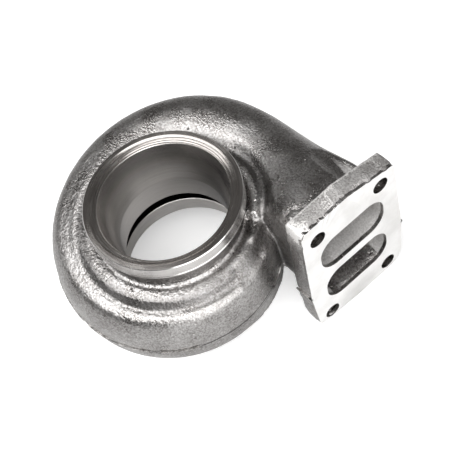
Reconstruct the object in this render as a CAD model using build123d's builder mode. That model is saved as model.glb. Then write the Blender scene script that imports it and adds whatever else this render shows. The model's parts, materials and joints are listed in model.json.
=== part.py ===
"""Twin-scroll turbine housing of a turbocharger, cast in one piece, in millimetres.

The turbine axis is Z.  Z = 0 is the face that bolts to the bearing housing, the outlet face is at
the top, and +X is the way out of the gas inlet flange.
"""
from build123d import *
from math import cos, radians, sin
import os

# Turbine bore and outlet
housing_height = 80.0
outlet_rim_radius = 46.0
outlet_rim_height = 8.0
outlet_undercut = 1.7
outlet_lip_radius = 40.5
outlet_bore_radius = 38.4
outlet_step_depth = 1.2
exducer_radius = 32.3
exducer_height = 50.0
inducer_radius = 33.5
neck_radius = 43.0
edge_break = 0.6

# Nozzle slot between the wheel and the two scrolls
nozzle_low = 20.3
nozzle_high = 31.7
hub_side_radius = 37.1
nozzle_flare = 5.0
divider_height = 26.0
divider_tip_radius = 39.5
divider_tip = 1.2
divider_root = 4.4

# Bearing housing side
register_radius = 45.5
register_depth = 5.0
heat_shield_radius = 39.6
bearing_face_radius = 58.0
bearing_face_height = 11.0
bearing_bolts = 8
bearing_bolt_circle = 103.0
bearing_bolt_hole = 6.8
bearing_bolt_depth = 7.5

# Spiral, measured at the parting plane
parting_height = 24.0
tail_angle = 386.0
head_angle = 125.0
duct_angle = 90.0
tail_rim = 61.5
spiral_rise = 25.0
head_swell = 14.3
swell_start = 280.0
wall = 6.0
core_radius = 40.0
lip_height = 1.3
lip_proud = 0.7

# Roof of the volute: how far out each point lies between ridge and rim, and its heights
shelf_radius = 46.5
shelf_low = 58.3
shelf_rise = 1.8
ridge_radius = 52.0
ridge_out = 4.5
ridge_low = 58.8
ridge_rise = 4.2
valley_share = 0.29
valley_out = 0.15
valley_low = 52.4
valley_rise = 14.0
shoulder_share = 0.54
shoulder_out = 0.15
shoulder_low = 50.8
shoulder_rise = 11.0
haunch_share = 0.83
haunch_low = 43.5
haunch_rise = 7.0
wall_share = 0.95
wall_low = 34.0
wall_rise = 3.0
belly_low = 3.5
belly_drop = 3.0
belly_radius = 15.0
heel_radius = 3.0

# Gas inlet flange, its bolts and its two ports
flange_face = 81.6
flange_thickness = 12.4
flange_inner = 29.0
flange_outer = 101.0
flange_draft = 2.2
flange_top = 92.6
flange_bottom = -15.2
flange_outer_drop = 6.5
flange_inner_drop = 1.0
flange_foot_rise = 4.0
flange_corner = 3.0
flange_heel = 11.0
bolt_centre_y = 64.6
bolt_centre_z = 35.2
bolt_spacing_y = 46.0
bolt_spacing_z = 84.0
bolt_hole = 10.5
port_width = 47.2
port_height = 27.0
port_corner = 12.0
port_divider = 7.0
port_shift_z = 1.5

# Duct between the volute and the flange
duct_inner = 34.0
duct_outer = 100.0
duct_roof = 77.5
duct_floor = 0.5
duct_corner = 22.0
duct_outer_fullness = 3.0
duct_inner_fullness = 5.0
duct_roof_start = 153.0

# Gas passages inside the casting, with the corners of their sections taken
# inner low, outer low, outer high, inner high
passage_inner = 47.0
passage_cove = 12.0
passage_lift = 2.0
passage_fullness = 0.42
passage_pinch = 6.0
passage_start = 384.0
ridge_wall = 7.8
haunch_wall = 7.2
upper_corners = (4.0, 4.0, 16.0, 6.0)
lower_corners = (6.0, 9.0, 4.0, 4.0)

# How many sections carry each loft
volute_sections = 14
passage_turn_sections = 16
tail_sections = 4
duct_sections = 3
passage_duct_sections = 5
tail_start = 372.0
tail_end = 410.0

# Small cast forms
wrench_radius = 11.5
wrench_reach = 38.0
wrench_low_radius = 9.0
wrench_end = 0.6
collar_start_angle = 45.0
collar_end_angle = 97.0
collar_radius = 55.5
collar_crest = 61.2
collar_flat_radius = 48.8
collar_shoulder = 2.0
collar_fall = 12.0
gate_radius = 8.5
gate_back = 0.5
gate_in = 12.0
gate_rise = 1.5
mark_radius = 1.8
mark_height = 0.5
mark_back = 3.8
mark_out = 16.0

# How far a cutting tool runs past the face it cuts
overshoot = 1.0


def smooth(share):
    """Ease from 0 to 1 as the share goes from 0 to 1."""
    bounded = min(max(share, 0.0), 1.0)
    return bounded * bounded * (3.0 - 2.0 * bounded)


def spread(first, last, count):
    """Evenly spaced values from the first to the last."""
    return [first + (last - first) * step / (count - 1) for step in range(count)]


def blend_points(first, second, share):
    """Points part of the way from one list to the other."""
    return [(a + (c - a) * share, b + (d - b) * share) for (a, b), (c, d) in zip(first, second)]


def swell_at(angle):
    """How far the volute has grown from its double ridge to its full round head."""
    return smooth((swell_start - angle) / (swell_start - head_angle))


def rim_at(angle):
    """Outer radius of the volute at the parting plane."""
    wrapped = (tail_angle - max(angle, head_angle)) / (tail_angle - head_angle)
    return tail_rim + spiral_rise * wrapped + head_swell * swell_at(angle)


def radial_plane(angle):
    """Plane through the turbine axis, with its x outwards and its y up."""
    outwards = (cos(radians(angle)), sin(radians(angle)), 0)
    upstream = (sin(radians(angle)), -cos(radians(angle)), 0)
    return Plane(origin=(0, 0, 0), x_dir=outwards, z_dir=upstream)


def duct_plane(distance):
    """Plane across the straight duct, with its x along +Y and its y up."""
    return Plane(origin=(distance, 0, 0), x_dir=(0, 1, 0), z_dir=(1, 0, 0))


def volute_roof(angle):
    """Points of the volute's roof from the neck out to the parting plane."""
    grown = swell_at(angle)
    rim = rim_at(angle)
    span = rim - ridge_radius
    return [
        (core_radius, shelf_low + wall / 2),
        (shelf_radius, shelf_low + shelf_rise * grown),
        (ridge_radius + ridge_out * grown, ridge_low + ridge_rise * grown),
        (ridge_radius + span * (valley_share + valley_out * grown), valley_low + valley_rise * grown),
        (ridge_radius + span * (shoulder_share + shoulder_out * grown), shoulder_low + shoulder_rise * grown),
        (ridge_radius + span * haunch_share, haunch_low + haunch_rise * grown),
        (ridge_radius + span * wall_share, wall_low + wall_rise * grown),
        (rim, parting_height + lip_height / 2),
    ]


def duct_roof_points(count):
    """Points of the duct's roof at the flange: a full, nearly square arch."""
    foot = parting_height + lip_height / 2
    middle = (duct_inner + duct_outer) / 2
    half_width = (duct_outer - duct_inner) / 2
    points = []
    for turn in spread(duct_roof_start, 0, count):
        across, up = cos(radians(turn)), sin(radians(turn))
        fullness = duct_outer_fullness if across > 0 else duct_inner_fullness
        out = abs(across) ** (2 / fullness) * (1 if across > 0 else -1)
        points.append((middle + half_width * out, foot + (duct_roof - foot) * up ** (2 / fullness)))
    return points


def casting_section(plane, roof, floor, heel):
    """Closed section of the casting: roof, parting lip, belly, floor and inner side."""
    inner = roof[0][0]
    rim, high = roof[-1]
    low = high - lip_height
    with BuildSketch(plane) as section:
        with BuildLine():
            Spline(*roof)
            Polyline((rim, high), (rim + lip_proud, high), (rim + lip_proud, low), (rim, low))
            Spline((rim, low), (rim - belly_radius, floor), tangents=((0, -1), (-1, 0)))
            Line((rim - belly_radius, floor), (inner + heel, floor))
            Spline((inner + heel, floor), (inner, floor + heel), tangents=((-1, 0), (0, 1)))
            Line((inner, floor + heel), roof[0])
        make_face()
    return section.sketch


def volute_section(angle):
    """Section of the volute at an angle round the turbine axis."""
    floor = belly_low - belly_drop * swell_at(angle)
    return casting_section(radial_plane(angle), volute_roof(angle), floor, heel_radius)


def duct_section(distance):
    """Section of the straight duct at a distance from the turbine axis."""
    share = smooth(distance / duct_end)
    head = volute_roof(duct_angle)
    roof = blend_points(head, duct_roof_points(len(head)), share)
    floor = (belly_low - belly_drop) * (1 - share) + duct_floor * share
    heel = heel_radius * (1 - share) + duct_corner * share
    return casting_section(duct_plane(distance), roof, floor, heel)


duct_end = flange_face - flange_thickness

with BuildPart() as volute:
    head_part = [volute_section(angle) for angle in spread(tail_start, duct_angle, volute_sections)]
    straight_part = [duct_section(x) for x in spread(0, duct_end, duct_sections + 1)[1:]]
    loft(head_part + straight_part)

with BuildPart() as tail:
    loft([volute_section(angle) for angle in spread(tail_start, tail_end, tail_sections)])

# Turned body: outlet rim, neck and bearing side face
with BuildPart() as hub:
    with BuildSketch(Plane.XZ):
        with BuildLine():
            rim_foot = housing_height - outlet_rim_height - outlet_undercut
            Polyline(
                (0, 0),
                (bearing_face_radius, 0),
                (bearing_face_radius, bearing_face_height),
                (neck_radius, bearing_face_height),
                (neck_radius, rim_foot - (outlet_rim_radius - neck_radius) / 2),
                (outlet_rim_radius, rim_foot),
                (outlet_rim_radius, housing_height - edge_break),
                (outlet_rim_radius - edge_break, housing_height),
                (0, housing_height),
                close=True,
            )
        make_face()
    revolve(axis=Axis.Z)

# Collar that carries the roof of the duct round the neck, and ends above the tongue
with BuildPart() as collar:
    with BuildSketch(radial_plane(collar_start_angle)):
        with BuildLine():
            Spline(
                (core_radius, collar_crest),
                (collar_flat_radius, collar_crest),
                (collar_radius - collar_shoulder, collar_crest - collar_fall / 4),
                (collar_radius, collar_crest - collar_fall),
            )
            Polyline(
                (collar_radius, collar_crest - collar_fall),
                (collar_radius, bearing_face_height / 2),
                (core_radius, bearing_face_height / 2),
                (core_radius, collar_crest),
            )
        make_face()
    revolve(axis=Axis.Z, revolution_arc=collar_end_angle - collar_start_angle)

# Gas inlet flange, drafted both ways from the parting plane
flange_plane = duct_plane(flange_face)
with BuildPart() as flange:
    with BuildSketch(flange_plane):
        with BuildLine():
            FilletPolyline(
                (flange_inner + flange_draft, flange_top - flange_inner_drop),
                (bolt_centre_y, flange_top),
                (flange_outer - flange_draft, flange_top - flange_outer_drop),
                (flange_outer, parting_height),
                (flange_outer - flange_draft, flange_bottom),
                (bolt_centre_y, flange_bottom),
                (flange_inner + flange_draft, flange_bottom + flange_foot_rise),
                (flange_inner, parting_height),
                radius=[flange_corner, 0, flange_corner, 0, flange_heel, 0, flange_corner, 0],
                close=True,
            )
        make_face()
    extrude(amount=-flange_thickness)
    with BuildSketch(flange_plane):
        with Locations(((flange_inner + flange_outer) / 2, parting_height)):
            Rectangle(flange_outer - flange_inner + 2 * lip_proud, lip_height)
    extrude(amount=-flange_thickness)


def passage_corners(angle, upper):
    """Inner low, outer low, outer high and inner high corner of a passage's section."""
    grown = swell_at(angle)
    rim = rim_at(angle)
    if upper:
        low = divider_height + divider_root / 2
        high = valley_low - wall + valley_rise * grown
        haunch = ridge_radius + (rim - ridge_radius) * haunch_share - haunch_wall
        return [
            (passage_inner, low),
            (rim - wall, low),
            (haunch, high),
            (passage_inner, ridge_low + ridge_rise * grown - ridge_wall),
        ]
    low = belly_low - belly_drop * grown + wall + passage_lift * (1 - grown)
    high = divider_height - divider_root / 2
    return [(passage_inner + passage_cove * grown, low), (rim - wall, low), (rim - wall, high), (passage_inner, high)]


def port_corners(upper):
    """Corners of a port in the flange face."""
    side = 1 if upper else -1
    level = bolt_centre_z + port_shift_z + side * (port_height + port_divider) / 2
    left, right = bolt_centre_y - port_width / 2, bolt_centre_y + port_width / 2
    low, high = level - port_height / 2, level + port_height / 2
    return [(left, low), (right, low), (right, high), (left, high)]


def passage_section(plane, corners, rounding):
    """Section of a gas passage, with its four corners rounded."""
    low_width = corners[1][0] - corners[0][0]
    high_width = corners[2][0] - corners[3][0]
    height = corners[2][1] - corners[1][1]
    largest = passage_fullness * min(low_width, high_width, height)
    with BuildSketch(plane) as section:
        with BuildLine():
            FilletPolyline(*corners, radius=[min(r, largest) for r in rounding], close=True)
        make_face()
    return section.sketch


def passage_sections(upper):
    """Sections of one passage from the tongue to outside the flange face."""
    rounding = upper_corners if upper else lower_corners
    head = passage_corners(duct_angle, upper)
    sections = [
        passage_section(radial_plane(angle), passage_corners(angle, upper), rounding)
        for angle in spread(passage_start, duct_angle, passage_turn_sections)
    ]
    for distance in spread(0, duct_end, passage_duct_sections + 1)[1:] + [flange_face + overshoot]:
        share = smooth(distance / duct_end)
        corners = blend_points(head, port_corners(upper), share)
        if distance < duct_end:
            # The inner wall bows in towards the turbine on its way to the port
            pinch = passage_pinch * sin(radians(180 * distance / duct_end))
            corners[0] = (corners[0][0] - pinch, corners[0][1])
            corners[3] = (corners[3][0] - pinch, corners[3][1])
        radii = [r + (port_corner - r) * share for r in rounding]
        sections.append(passage_section(duct_plane(distance), corners, radii))
    return sections


# Gas passages: each runs from its port in the flange round the axis to the tongue
with BuildPart() as upper_passage:
    loft(passage_sections(upper=True), ruled=True)

with BuildPart() as lower_passage:
    loft(passage_sections(upper=False), ruled=True)

# Everything that is machined from the wheel side: bore, nozzle slot and bearing register
with BuildPart() as turned_cut:
    with BuildSketch(Plane.XZ):
        with BuildLine():
            step_radius = outlet_lip_radius - outlet_step_depth
            ledge_height = housing_height - 2 * outlet_step_depth
            Polyline(
                (0, -overshoot),
                (register_radius, -overshoot),
                (register_radius, register_depth),
                (heat_shield_radius, register_depth),
                (hub_side_radius, nozzle_low),
                (inducer_radius, nozzle_low),
                (inducer_radius, nozzle_high),
                (exducer_radius, exducer_height),
                (outlet_bore_radius, ledge_height),
                (step_radius, ledge_height),
                (step_radius, housing_height - outlet_step_depth / 2),
                (outlet_lip_radius, housing_height),
                (outlet_lip_radius, housing_height + overshoot),
                (0, housing_height + overshoot),
                close=True,
            )
        make_face()
    revolve(axis=Axis.Z)
    throat = passage_inner + overshoot
    with BuildSketch(Plane.XZ):
        with BuildLine():
            Polyline(
                (inducer_radius - overshoot, nozzle_low),
                (inducer_radius - overshoot, nozzle_high),
                (hub_side_radius, nozzle_high),
                (throat, nozzle_high + nozzle_flare),
                (throat, divider_height + divider_root / 2),
                (divider_tip_radius, divider_height + divider_tip / 2),
                (divider_tip_radius, divider_height - divider_tip / 2),
                (throat, divider_height - divider_root / 2),
                (throat, nozzle_low - nozzle_flare),
                (hub_side_radius, nozzle_low),
                close=True,
            )
        make_face()
    revolve(axis=Axis.Z)

# Round-ended room for a wrench behind three of the bolt holes
low_bolts = [(bolt_centre_y + side * bolt_spacing_y / 2, bolt_centre_z - bolt_spacing_z / 2) for side in (-1, 1)]
high_bolts = [(y, z + bolt_spacing_z) for y, z in low_bolts]

with BuildPart() as upper_wrench_room:
    with BuildSketch(duct_plane(duct_end)):
        with Locations(high_bolts[1]):
            Circle(wrench_radius)
    extrude(amount=-wrench_reach)
    fillet(upper_wrench_room.edges().group_by(Axis.X)[0], wrench_end * wrench_radius)

with BuildPart() as lower_wrench_room:
    with BuildSketch(duct_plane(duct_end)):
        with Locations(*low_bolts):
            Circle(wrench_low_radius)
    extrude(amount=-wrench_reach)
    fillet(lower_wrench_room.edges().group_by(Axis.X)[0], wrench_end * wrench_low_radius)

with BuildPart() as housing:
    add(volute.part)
    add(tail.part)
    add(hub.part)
    add(collar.part)
    add(flange.part)
    add(upper_wrench_room.part, mode=Mode.SUBTRACT)
    add(lower_wrench_room.part, mode=Mode.SUBTRACT)
    # Lump left by the gate, and a round cast mark on the flange's top edge
    with Locations((duct_end - gate_back, flange_inner + gate_in, duct_roof + gate_rise)):
        Sphere(gate_radius, rotation=(0, 90, 0))
    mark_rise = flange_top - flange_outer_drop * mark_out / (flange_outer - flange_draft - bolt_centre_y)
    with Locations((flange_face - mark_back, bolt_centre_y + mark_out, mark_rise)):
        Cylinder(mark_radius, 2 * mark_height)
    add(upper_passage.part, mode=Mode.SUBTRACT)
    add(lower_passage.part, mode=Mode.SUBTRACT)
    add(turned_cut.part, mode=Mode.SUBTRACT)
    with BuildSketch(flange_plane):
        with Locations(*low_bolts, *high_bolts):
            Circle(bolt_hole / 2)
    extrude(amount=-flange_thickness - gate_back - gate_radius - overshoot, mode=Mode.SUBTRACT)
    with BuildSketch(Plane.XY):
        with PolarLocations(bearing_bolt_circle / 2, bearing_bolts, start_angle=180 / bearing_bolts):
            Circle(bearing_bolt_hole / 2)
    extrude(amount=bearing_bolt_depth, mode=Mode.SUBTRACT)

housing.part.label = "turbine_housing"
os.makedirs("parts", exist_ok=True)
export_step(housing.part, "parts/turbine_housing.step")
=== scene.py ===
"""Looks of a twin-scroll turbine housing: its cast skin, turned outlet and bore, and ground inlet face."""

import json
import logging
import math
from dataclasses import dataclass, replace
from enum import Enum
from functools import reduce
from typing import Callable, ClassVar

import bmesh
import bpy
from mathutils import Matrix, Vector, noise
from mathutils.bvhtree import BVHTree


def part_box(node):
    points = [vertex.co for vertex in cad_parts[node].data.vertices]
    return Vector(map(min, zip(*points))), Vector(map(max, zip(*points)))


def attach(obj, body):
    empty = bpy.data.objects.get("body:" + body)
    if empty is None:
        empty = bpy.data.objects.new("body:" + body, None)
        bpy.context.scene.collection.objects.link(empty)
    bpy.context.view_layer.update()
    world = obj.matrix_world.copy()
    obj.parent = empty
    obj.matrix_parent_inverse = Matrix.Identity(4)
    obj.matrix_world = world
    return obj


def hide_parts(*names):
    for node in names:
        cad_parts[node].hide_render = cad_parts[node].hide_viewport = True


MM = 0.001
NODE = "turbine_housing"
BODY = "root"

# Vertex attributes of the casting, which its skin reads
PEBBLED = "pebbled"
PAINTED_SHADE = "painted_shade"
COARSE = "coarse"
BARE_AND_HIGHLIGHT = "bare_and_highlight"
PALE = "pale"

# Socket types of the node groups
FLOAT = "NodeSocketFloat"
VECTOR = "NodeSocketVector"

Colour = tuple[float, float, float, float]
Point = tuple[float, float, float]
Span = tuple[float, float]
Stretch = tuple[float, float, float, float]
Outline = tuple[Span, ...]
Mesh = bmesh.types.BMesh
Piece = bpy.types.Object
Material = bpy.types.Material
Node = bpy.types.Node
NodeTree = bpy.types.NodeTree
Socket = bpy.types.NodeSocket
Sockets = bpy.types.bpy_prop_collection

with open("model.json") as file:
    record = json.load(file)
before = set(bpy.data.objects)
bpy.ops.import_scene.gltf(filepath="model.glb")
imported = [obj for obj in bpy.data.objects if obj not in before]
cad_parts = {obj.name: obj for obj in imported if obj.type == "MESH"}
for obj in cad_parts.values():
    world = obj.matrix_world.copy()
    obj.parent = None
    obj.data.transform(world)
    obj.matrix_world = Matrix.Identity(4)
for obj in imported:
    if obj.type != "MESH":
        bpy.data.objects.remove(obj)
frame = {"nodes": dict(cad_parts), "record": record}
log = logging.getLogger("turbine_housing")


class Zone(Enum):
    """Turned surfaces of the outlet, by the material slot of their finish."""

    TOP = 0
    BAND = 1
    BORE = 2
    CONTOUR = 3
    UNDERSIDE = 4


@dataclass(frozen=True)
class HousingSizes:
    """Sizes of the housing in metres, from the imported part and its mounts."""

    low: Vector
    high: Vector
    rim_radius: float
    register_radius: float
    register_depth: float
    bolt_centre: Vector
    bolt_spread: Vector
    bolt_radius: float
    flange_thickness: float = 12.4 * MM
    outlet_face: float = 80.0 * MM
    parting_height: float = 24.0 * MM

    @classmethod
    def from_frame(cls) -> "HousingSizes":
        """Read the sizes from the frame.

        Returns:
            HousingSizes: the sizes, with the mounts' own values where there are such.
        """
        low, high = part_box(NODE)
        mounts = {mount["name"]: mount for mount in frame["record"]["mounts"]}
        register = mounts["bearing_register"]["dims"]
        bolts = mounts["inlet_bolts"]
        spacing = bolts["dims"]
        return cls(
            low=low,
            high=high,
            rim_radius=mounts["outlet_rim"]["dims"]["r_mm"] * MM,
            register_radius=register["r_mm"] * MM,
            register_depth=register["length_mm"] * MM,
            bolt_centre=Vector(bolts["pos_m"]),
            bolt_spread=Vector((0.0, spacing["spacing_x_mm"] * MM, spacing["spacing_y_mm"] * MM)),
            bolt_radius=spacing["hole_r_mm"] * MM,
        )


def radius_of(point: Vector) -> float:
    """Distance of a point from the turbine axis."""
    return math.hypot(point.x, point.y)


def ramp(value: float, start: float, end: float) -> float:
    """Ease from 0 at the start to 1 at the end."""
    share = min(max((value - start) / (end - start), 0.0), 1.0)
    return share * share * (3.0 - 2.0 * share)


def plateau(value: float, start: float, full: float, ease: float, end: float) -> float:
    """Ease from 0 at the start to 1 at full, and from ease back to 0 at the end."""
    return ramp(value, start, full) * (1.0 - ramp(value, ease, end))


def along(table: Outline, place: float) -> float:
    """Read a value off a table of places and values.

    Args:
        table: pairs of place and value, in rising order of place.
        place: where to read it.

    Returns:
        float: the value between the two nearest pairs, or 0 outside the table.
    """
    for (start, first), (end, second) in zip(table, table[1:]):
        if start <= place < end:
            return first + (second - first) * (place - start) / (end - start)
    return 0.0


def middle_of(edge: bmesh.types.BMEdge) -> Vector:
    """Middle of an edge."""
    return (edge.verts[0].co + edge.verts[1].co) / 2


def set_out(name: str, data: bpy.types.ID) -> Piece:
    """Put a mesh, a light or a camera into the scene.

    Args:
        name: the name of its object.
        data: the mesh, light or camera.

    Returns:
        Piece: its object, at the origin.
    """
    made = bpy.data.objects.new(name, data)
    bpy.context.scene.collection.objects.link(made)
    return made


def set_out_mesh(bm: Mesh, name: str) -> Piece:
    """Put a bmesh into the scene.

    Args:
        bm: the mesh to keep. It is freed.
        name: the name of its object and its mesh.

    Returns:
        Piece: its object, at the origin.
    """
    mesh = bpy.data.meshes.new(name)
    bm.to_mesh(mesh)
    bm.free()
    return set_out(name, mesh)


def put_away(bm: Mesh, name: str, sharp_angle: float = 35.0) -> Piece:
    """Turn a bmesh into a finished piece that rides on the housing.

    Args:
        bm: the mesh to keep. It is freed.
        name: the name of the piece.
        sharp_angle: edges that turn by more degrees than this stay sharp.

    Returns:
        Piece: the piece, at the origin, unturned and unscaled.
    """
    for face in bm.faces:
        face.smooth = True
    piece = set_out_mesh(bm, name)
    piece.data.set_sharp_from_angle(angle=math.radians(sharp_angle))
    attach(piece, BODY)
    return piece


def cad_faces(keep: Callable[[bmesh.types.BMFace], bool]) -> Mesh:
    """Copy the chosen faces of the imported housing, with their seams merged.

    Args:
        keep: says of a face whether it is wanted.

    Returns:
        Mesh: the chosen faces.
    """
    bm = bmesh.new()
    bm.from_mesh(frame["nodes"][NODE].data)
    bmesh.ops.remove_doubles(bm, verts=bm.verts, dist=0.001 * MM)
    bm.normal_update()
    bmesh.ops.delete(bm, geom=[face for face in bm.faces if not keep(face)], context="FACES")
    return bm


def soften(bm: Mesh, verts: object, passes: int) -> None:
    """Smooth some vertices of a mesh, as often as asked."""
    for _ in range(passes):
        bmesh.ops.smooth_vert(bm, verts=verts, factor=0.5, use_axis_x=True, use_axis_y=True, use_axis_z=True)


def lathe(profile: Outline, steps: int, bm: Mesh | None = None, place: Matrix | None = None) -> Mesh:
    """Spin a closed profile round the turbine axis, or round another one.

    Args:
        profile: corners as radius and height, in millimetres.
        steps: how many steps make the full turn.
        bm: a mesh to add the ring to. Without one, a new mesh is started.
        place: puts the ring, made round the turbine axis, in its own place.

    Returns:
        Mesh: the mesh with a closed ring whose faces point outwards.
    """
    bm = bmesh.new() if bm is None else bm
    verts = [bm.verts.new((radius * MM, 0.0, height * MM)) for radius, height in profile]
    edges = [bm.edges.new(pair) for pair in zip(verts, verts[1:] + verts[:1])]
    bmesh.ops.spin(
        bm,
        geom=verts + edges,
        cent=(0.0, 0.0, 0.0),
        axis=(0.0, 0.0, 1.0),
        angle=math.tau,
        steps=steps,
        use_merge=True,
    )
    if place:
        ring = {vert for edge in edges if edge.is_valid for vert in edge.verts}
        reach = set(ring)
        while ring:
            ring = {edge.other_vert(vert) for vert in ring for edge in vert.link_edges} - reach
            reach |= ring
        bmesh.ops.transform(bm, matrix=place, verts=list(reach))
    bmesh.ops.remove_doubles(bm, verts=bm.verts, dist=0.001 * MM)
    bmesh.ops.recalc_face_normals(bm, faces=bm.faces)
    return bm


@dataclass
class NodeBench:
    """Short ways to place and join shader nodes in one tree."""

    tree: NodeTree

    def feed(self, node: Node, name: str | int, value: object) -> None:
        """Join a socket to a node's input, or set the input to a plain value.

        Args:
            node: the node to feed.
            name: the name or the number of its input.
            value: a socket or a plain value.
        """
        if isinstance(value, Socket):
            self.tree.links.new(value, node.inputs[name])
        else:
            node.inputs[name].default_value = value

    def fill(self, node: Node, **inputs: object) -> None:
        """Feed inputs by their names, which have underscores for spaces."""
        for name, value in inputs.items():
            self.feed(node, name.replace("_", " "), value)

    def add(self, kind: str, settings: dict[str, object] | None = None, **inputs: object) -> Node:
        """Place a node.

        Args:
            kind: the node's type.
            settings: what is set on the node itself, and not on a socket.
            inputs: what its inputs get, by their names with underscores for spaces.

        Returns:
            Node: the node.
        """
        node = self.tree.nodes.new(kind)
        for name, value in (settings or {}).items():
            setattr(node, name, value)
        self.fill(node, **inputs)
        return node

    def effect(self, group: NodeTree, **inputs: object) -> Sockets:
        """Place a shared node group, and give its outputs."""
        return self.add("ShaderNodeGroup", {"node_tree": group}, **inputs).outputs

    def maths(self, operation: str, *values: object) -> Socket:
        """Work out one value.

        Args:
            operation: what the node does.
            values: the sockets and numbers it works on.

        Returns:
            Socket: the value.
        """
        node = self.add("ShaderNodeMath", {"operation": operation})
        for index, value in enumerate(values):
            self.feed(node, index, value)
        return node.outputs[0]

    def plus(self, *values: object) -> Socket:
        """Add sockets and numbers up."""
        return reduce(lambda first, second: self.maths("ADD", first, second), values)

    def times(self, *values: object) -> Socket:
        """Multiply sockets and numbers."""
        return reduce(lambda first, second: self.maths("MULTIPLY", first, second), values)

    def blend(self, factor: object, first: object, second: object, way: str = "MIX") -> Socket:
        """Mix two colours, or multiply them.

        Args:
            factor: the share of the second colour.
            first: the first colour.
            second: the second colour.
            way: how the second colour lies on the first.

        Returns:
            Socket: the colour.
        """
        node = self.add("ShaderNodeMix", {"data_type": "RGBA", "blend_type": way})
        for index, value in ((0, factor), (6, first), (7, second)):
            self.feed(node, index, value)
        return node.outputs[2]

    def band(self, value: object, start: float, end: float) -> Socket:
        """Ease from 0 to 1 while a value goes from the start to the end.

        Args:
            value: the value that is looked at.
            start: where the result is 0.
            end: where the result is 1.

        Returns:
            Socket: the eased value.
        """
        node = self.add("ShaderNodeMapRange", {"interpolation_type": "SMOOTHSTEP"})
        for index, given in enumerate((value, start, end)):
            self.feed(node, index, given)
        return node.outputs[0]

    def plateau(self, value: object, start: float, full: float, ease: float, end: float) -> Socket:
        """Ease from 0 at the start to 1 at full, and from ease back to 0 at the end."""
        return self.times(self.band(value, start, full), self.band(value, end, ease))

    def distance(self, place: Socket, centre: Point) -> Socket:
        """Work out how far each place lies from a centre.

        Args:
            place: the places.
            centre: the centre in metres.

        Returns:
            Socket: the distance in metres.
        """
        node = self.add("ShaderNodeVectorMath", {"operation": "DISTANCE"})
        self.feed(node, 0, place)
        self.feed(node, 1, centre)
        return node.outputs["Value"]

    def grain(self, vector: object, scale: float, detail: float = 2.0, rough: float = 0.5) -> Socket:
        """Noise of one size of grain."""
        node = self.add("ShaderNodeTexNoise", Vector=vector, Scale=scale, Detail=detail, Roughness=rough)
        return node.outputs["Fac"]

    def mask(self, name: str) -> Socket:
        """Read a vertex attribute of the casting."""
        return self.add("ShaderNodeAttribute", {"attribute_name": name}).outputs["Fac"]

    def bump(self, height: Socket, strength: float, distance: float) -> Socket:
        """Turn a height into a normal, with its distance in millimetres."""
        node = self.add("ShaderNodeBump", Strength=strength, Distance=distance * MM, Height=height)
        return node.outputs[0]


def new_group(name: str, inputs: dict[str, str], outputs: list[str]) -> tuple[NodeBench, Sockets, Node]:
    """Start a shader node group.

    Args:
        name: the group's name.
        inputs: names of its inputs and their socket types.
        outputs: names of its outputs, which are all plain values.

    Returns:
        tuple: the bench for its tree, the sockets it is given and its output node.
    """
    tree = bpy.data.node_groups.new(name, "ShaderNodeTree")
    for label, kind in inputs.items():
        tree.interface.new_socket(name=label, in_out="INPUT", socket_type=kind)
    for label in outputs:
        tree.interface.new_socket(name=label, in_out="OUTPUT", socket_type=FLOAT)
    bench = NodeBench(tree)
    return bench, bench.add("NodeGroupInput").outputs, bench.add("NodeGroupOutput")


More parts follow.
